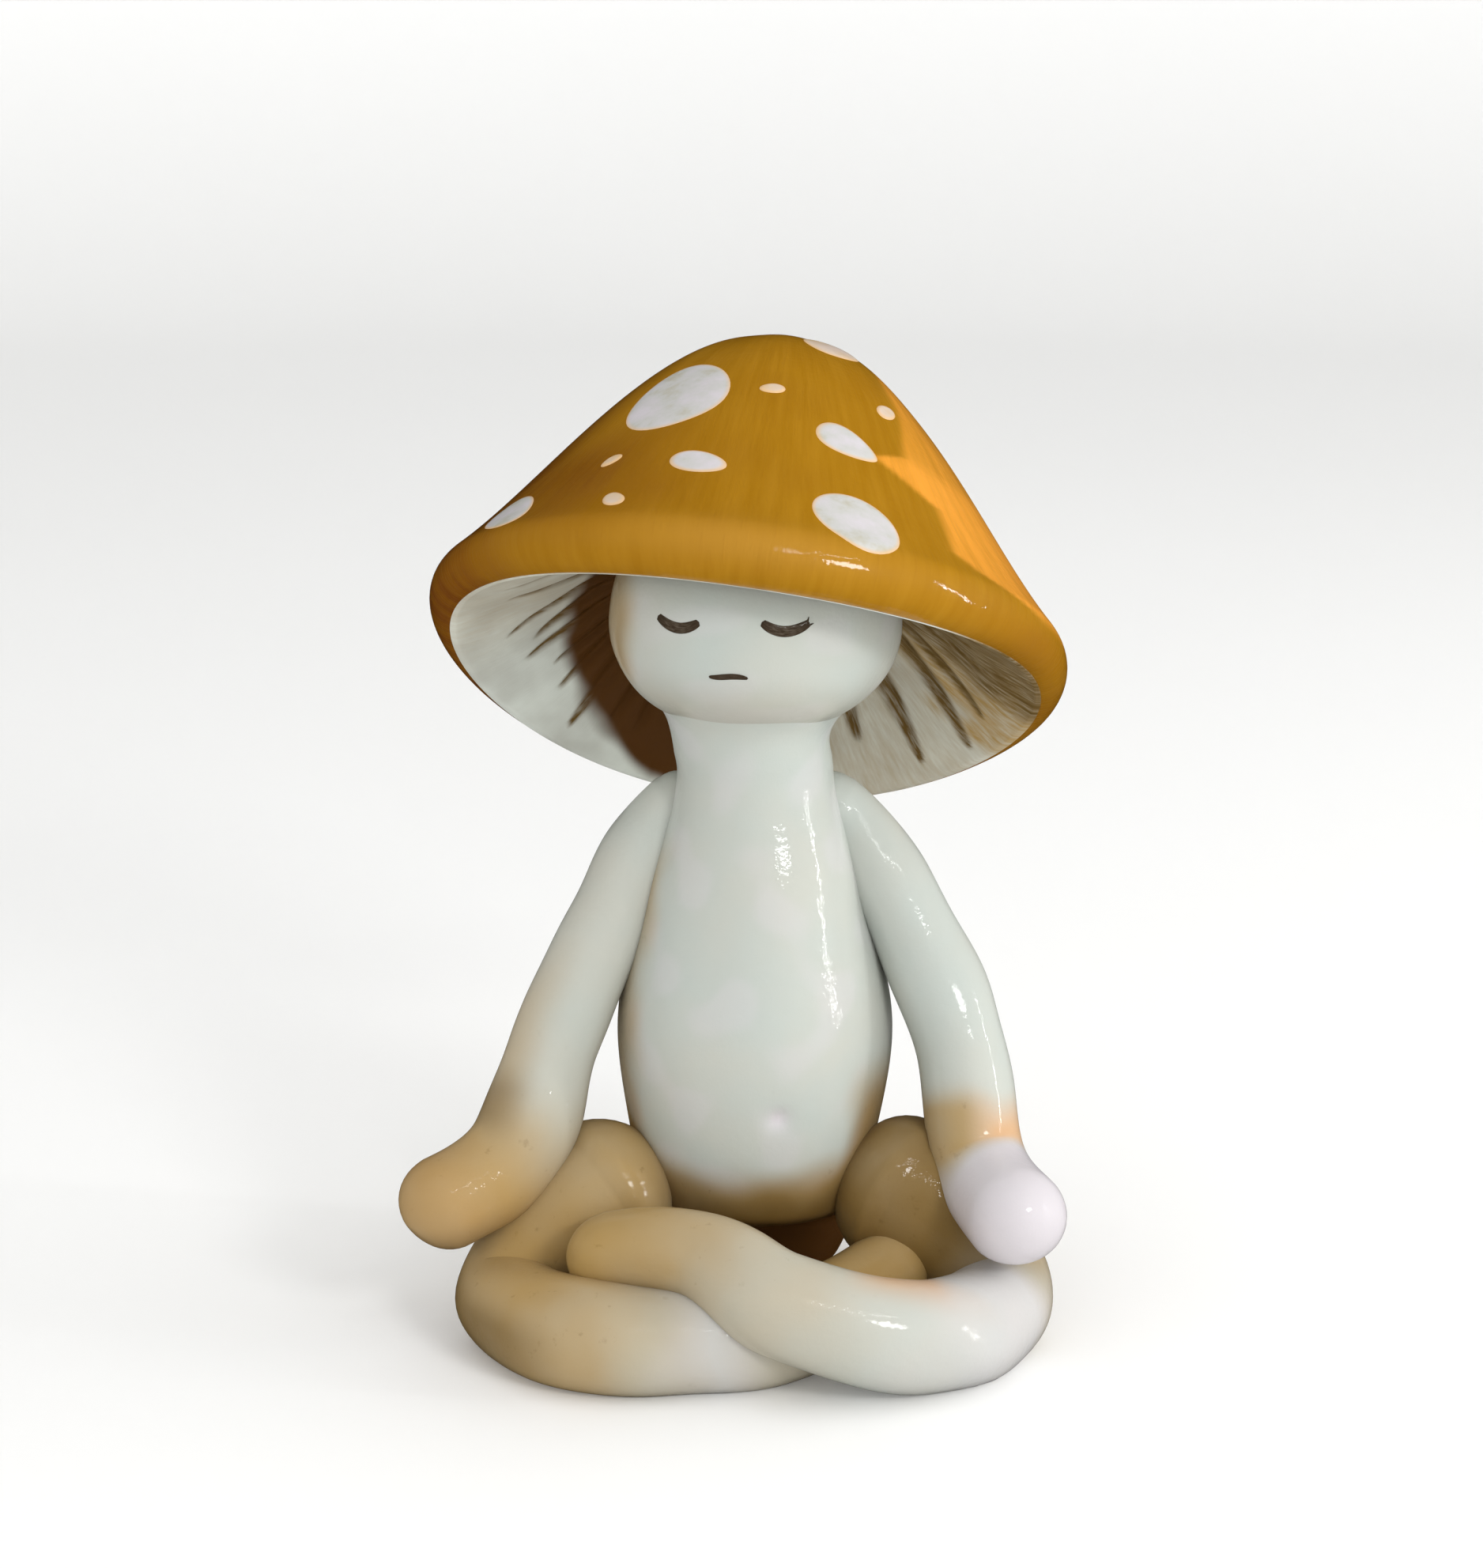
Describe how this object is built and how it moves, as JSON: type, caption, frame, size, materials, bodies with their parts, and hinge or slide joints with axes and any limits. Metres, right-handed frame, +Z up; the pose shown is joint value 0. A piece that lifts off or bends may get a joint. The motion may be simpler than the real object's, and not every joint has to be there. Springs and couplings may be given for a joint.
{
  "type": "mushroom figurine",
  "caption": "Seated cross-legged mushroom figure in glossy clay, with closed eyes, hands on its knees and a tilted, spotted cap with a grooved white underside.",
  "frame": {"origin": "on the worktop, under the middle of the figure's box", "axes": "+Z up, -Y to the front of the figure, +X to the figure's left"},
  "size_m": [0.068, 0.0662, 0.0992],
  "materials": {
    "body_clay": "gloss varnish over off-white clay with a tan wash",
    "lining_clay": "gloss varnish over white clay with brown strokes",
    "cap_clay": "gloss varnish over brushed mustard paint",
    "spot_clay": "gloss varnish over pale clay",
    "face_thread": "gloss varnish over dark brown clay",
    "foil": "crumpled",
    "wire": "drawn"
  },
  "bodies": {
    "root": {"torso": "body_clay", "head": "body_clay", "right_arm": "body_clay", "left_arm": "body_clay", "right_leg": "body_clay", "left_leg": "body_clay", "gill_lining": "lining_clay", "cap_shell": "cap_clay", "cap_spot_01": "spot_clay", "cap_spot_02": "spot_clay", "cap_spot_03": "spot_clay", "cap_spot_04": "spot_clay", "cap_spot_05": "spot_clay", "cap_spot_06": "spot_clay", "cap_spot_07": "spot_clay", "cap_spot_08": "spot_clay", "cap_spot_09": "spot_clay", "cap_spot_10": "spot_clay", "cap_spot_11": "spot_clay", "cap_spot_12": "spot_clay", "cap_spot_13": "spot_clay", "cap_spot_14": "spot_clay", "cap_spot_15": "spot_clay", "cap_spot_16": "spot_clay", "cap_spot_17": "spot_clay", "cap_spot_18": "spot_clay", "cap_spot_19": "spot_clay", "right_eye": "face_thread", "left_eye": "face_thread", "mouth": "face_thread", "torso_core": "foil", "head_core": "foil", "neck_pin": "wire", "cap_pin": "wire", "right_shoulder_pin": "wire", "left_shoulder_pin": "wire", "right_hip_pin": "wire", "left_hip_pin": "wire"}
  },
  "joints": []
}
